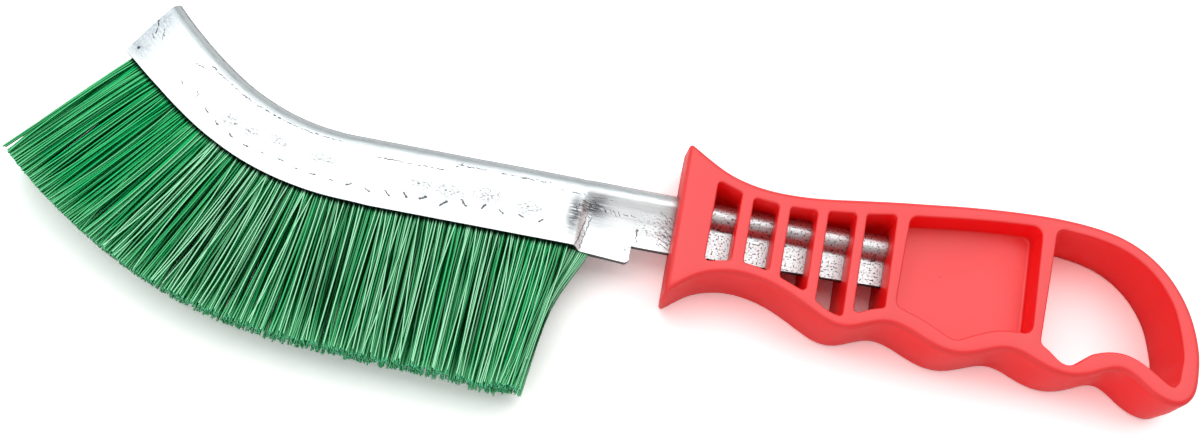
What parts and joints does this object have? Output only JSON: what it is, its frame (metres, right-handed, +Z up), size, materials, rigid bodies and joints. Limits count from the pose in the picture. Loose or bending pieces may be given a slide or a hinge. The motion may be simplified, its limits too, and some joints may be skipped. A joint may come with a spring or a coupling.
{
  "type": "hand brush",
  "caption": "Cleaning hand brush: a curved folded-steel channel clamps green plastic bristles, and its tang runs into a red moulded handle with finger waves, windows and a tail loop",
  "frame": {"origin": "centre of the bottom face of the bounding box, on the surface that the brush lies on", "axes": "+X along the tang to the handle's tail, +Y from the bristles to the back of the channel, +Z up through the handle's thickness"},
  "size_m": [0.2564, 0.0718, 0.017],
  "materials": {
    "red_plastic": "satin moulded red plastic",
    "galvanised_steel": "satin galvanised sheet with scuffs",
    "steel_wire": "plain drawn wire",
    "green_filament": "extruded green plastic filament"
  },
  "bodies": {
    "root": {"handle": "red_plastic", "blade": "galvanised_steel", "core_wire": "steel_wire", "bristles_01": "green_filament", "bristles_02": "green_filament", "bristles_03": "green_filament", "bristles_04": "green_filament", "bristles_05": "green_filament", "bristles_06": "green_filament", "bristles_07": "green_filament", "bristles_08": "green_filament", "bristles_09": "green_filament", "bristles_10": "green_filament", "bristles_11": "green_filament"}
  },
  "joints": []
}
